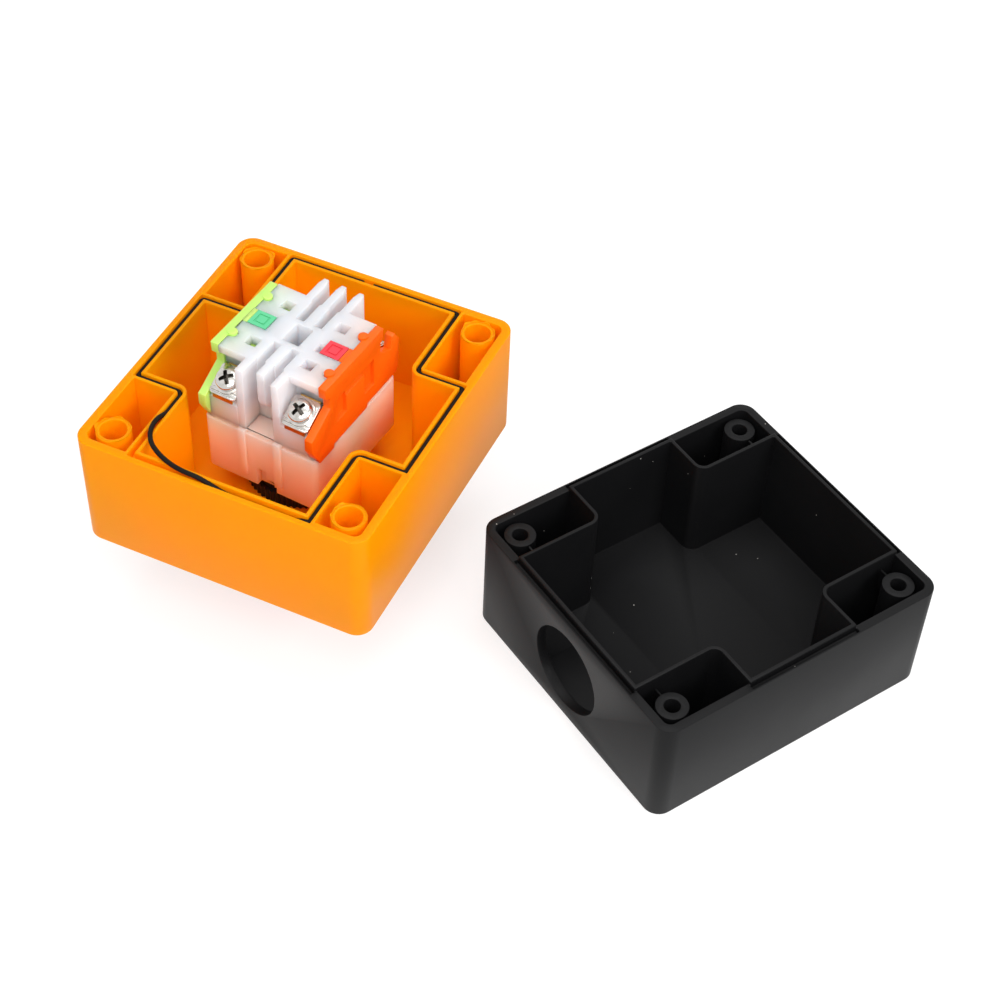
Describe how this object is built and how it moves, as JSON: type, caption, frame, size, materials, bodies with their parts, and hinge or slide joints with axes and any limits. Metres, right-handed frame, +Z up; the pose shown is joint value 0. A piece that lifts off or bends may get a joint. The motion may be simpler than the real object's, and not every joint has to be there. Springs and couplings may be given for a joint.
{
  "type": "emergency stop switch box",
  "caption": "Opened surface mount emergency stop box: black base with cable entry, and orange cover upside down on its mushroom button with contact block, seal and screw terminals",
  "frame": {"origin": "middle of the closed face that the base stands on", "axes": "+Z up, away from the resting surface; -Y towards the wall with the cable entry; X across the narrower side of the base"},
  "size_m": [0.1592, 0.1532, 0.073],
  "materials": {
    "base_plastic": "satin moulded black plastic",
    "cover_plastic": "semi gloss moulded orange plastic, slightly translucent",
    "seal_rubber": "matt black rubber",
    "operator_black": "satin black plastic",
    "head_red": "smooth red plastic",
    "stem_grey": "dark grey plastic",
    "spring_steel": "bright drawn spring wire",
    "nylon_white": "translucent milky white nylon",
    "plate_green": "translucent yellow green plastic",
    "plate_orange": "semi gloss orange plastic",
    "plunger_green": "satin green plastic",
    "plunger_red": "satin red plastic",
    "contact_brass": "plain brass strip with silver contact rivets",
    "terminal_nickel": "bright nickel plated steel"
  },
  "bodies": {
    "base": {"base_box": "base_plastic"},
    "cover": {"cover_shell": "cover_plastic", "cover_seal": "seal_rubber", "panel_gasket": "seal_rubber", "bezel": "operator_black", "locking_ring": "operator_black", "return_spring": "spring_steel", "mount_collar": "nylon_white", "contact_body": "nylon_white", "green_side_plate": "plate_green", "orange_side_plate": "plate_orange", "spring_no": "spring_steel", "spring_nc": "spring_steel", "fixed_contacts_no": "contact_brass", "fixed_contacts_nc": "contact_brass"},
    "pusher": {"push_plate": "nylon_white"},
    "head": {"mushroom_head": "head_red", "button_stem": "stem_grey"},
    "no_mover": {"green_plunger": "plunger_green", "bridge_no": "contact_brass"},
    "nc_mover": {"red_plunger": "plunger_red", "bridge_nc": "contact_brass"},
    "clamp_no_front": {"clamp_no_front": "terminal_nickel"},
    "screw_no_front": {"screw_no_front": "terminal_nickel"},
    "clamp_no_back": {"clamp_no_back": "terminal_nickel"},
    "screw_no_back": {"screw_no_back": "terminal_nickel"},
    "clamp_nc_front": {"clamp_nc_front": "terminal_nickel"},
    "screw_nc_front": {"screw_nc_front": "terminal_nickel"},
    "clamp_nc_back": {"clamp_nc_back": "terminal_nickel"},
    "screw_nc_back": {"screw_nc_back": "terminal_nickel"}
  },
  "joints": [
    {"name": "cover_lift", "type": "slide", "parent": "base", "child": "cover", "axis": [0, 0, 1], "range_m": [0, 0.06]},
    {"name": "button_press", "type": "slide", "parent": "cover", "child": "pusher", "axis": [0, 0, 1], "range_m": [0, 0.004], "stiffness_N_per_m": 1500, "springref_m": -0.006, "deforming": ["return_spring"]},
    {"name": "head_twist", "type": "hinge", "parent": "pusher", "child": "head", "pos_m": [-0.0736, -0.0636, 0.008], "axis": [0, 0, 1], "range_deg": [0, 40], "stiffness_Nm_per_rad": 0.15},
    {"name": "no_contact_slide", "type": "slide", "parent": "cover", "child": "no_mover", "axis": [0, 0, 1], "range_m": [0, 0.004], "stiffness_N_per_m": 200, "springref_m": -0.003, "deforming": ["spring_no"]},
    {"name": "nc_contact_slide", "type": "slide", "parent": "cover", "child": "nc_mover", "axis": [0, 0, 1], "range_m": [0, 0.004], "stiffness_N_per_m": 200, "springref_m": -0.003, "deforming": ["spring_nc"]},
    {"name": "clamp_lift_no_front", "type": "slide", "parent": "cover", "child": "clamp_no_front", "axis": [0.2163, -0.4339, 0.8746], "range_m": [0, 0.0014]},
    {"name": "screw_turn_no_front", "type": "hinge", "parent": "clamp_no_front", "child": "screw_no_front", "pos_m": [-0.0763, -0.07959, 0.0639], "axis": [0.2163, -0.4339, 0.8746], "range_deg": [0, 840.1]},
    {"name": "clamp_lift_no_back", "type": "slide", "parent": "cover", "child": "clamp_no_back", "axis": [-0.2163, 0.4339, 0.8746], "range_m": [0, 0.0014]},
    {"name": "screw_turn_no_back", "type": "hinge", "parent": "clamp_no_back", "child": "screw_no_back", "pos_m": [-0.08799, -0.05614, 0.0639], "axis": [-0.2163, 0.4339, 0.8746], "range_deg": [0, 840.1]},
    {"name": "clamp_lift_nc_front", "type": "slide", "parent": "cover", "child": "clamp_nc_front", "axis": [0.2163, -0.4339, 0.8746], "range_m": [0, 0.0014]},
    {"name": "screw_turn_nc_front", "type": "hinge", "parent": "clamp_nc_front", "child": "screw_nc_front", "pos_m": [-0.05921, -0.07106, 0.0639], "axis": [0.2163, -0.4339, 0.8746], "range_deg": [0, 840.1]},
    {"name": "clamp_lift_nc_back", "type": "slide", "parent": "cover", "child": "clamp_nc_back", "axis": [-0.2163, 0.4339, 0.8746], "range_m": [0, 0.0014]},
    {"name": "screw_turn_nc_back", "type": "hinge", "parent": "clamp_nc_back", "child": "screw_nc_back", "pos_m": [-0.0709, -0.04761, 0.0639], "axis": [-0.2163, 0.4339, 0.8746], "range_deg": [0, 840.1]}
  ],
  "couplings": [
    {"joint": "no_contact_slide", "follows": "button_press", "ratio": 1},
    {"joint": "nc_contact_slide", "follows": "button_press", "ratio": 1},
    {"joint": "screw_turn_no_front", "follows": "clamp_lift_no_front", "rad_per_m": 10472},
    {"joint": "screw_turn_no_back", "follows": "clamp_lift_no_back", "rad_per_m": 10472},
    {"joint": "screw_turn_nc_front", "follows": "clamp_lift_nc_front", "rad_per_m": 10472},
    {"joint": "screw_turn_nc_back", "follows": "clamp_lift_nc_back", "rad_per_m": 10472}
  ]
}
